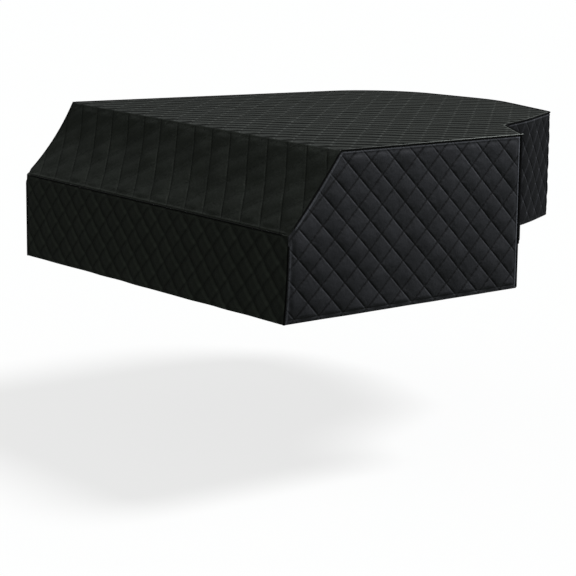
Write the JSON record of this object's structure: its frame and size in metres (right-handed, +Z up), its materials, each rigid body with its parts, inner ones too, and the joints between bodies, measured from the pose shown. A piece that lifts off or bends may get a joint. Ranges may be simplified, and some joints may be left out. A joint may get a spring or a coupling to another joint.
{
  "type": "grand piano cover",
  "caption": "Quilted black fitted cover for a baby grand piano: flat top cut to the piano's plan, hollow slope over the keyboard, deep front and cheeks, shallower rim sides, open below.",
  "frame": {"origin": "under the top panel, in the middle of the piano lid that the cover lies on", "axes": "+X across the keyboard towards the treble end, +Y from the keyboard to the tail, +Z up"},
  "size_m": [1.512, 1.6704, 0.5293],
  "materials": {
    "top_cloth": "black satin quilted in diamonds, top panel",
    "side_cloth": "black satin quilted in diamonds, hanging panels"
  },
  "bodies": {
    "root": {"top_panel": "top_cloth", "slope_panel": "side_cloth", "front_panel": "side_cloth", "treble_cheek_panel": "side_cloth", "bass_cheek_panel": "side_cloth", "bentside_panel": "side_cloth", "tail_panel": "side_cloth", "bass_rim_panel": "side_cloth"}
  },
  "joints": []
}
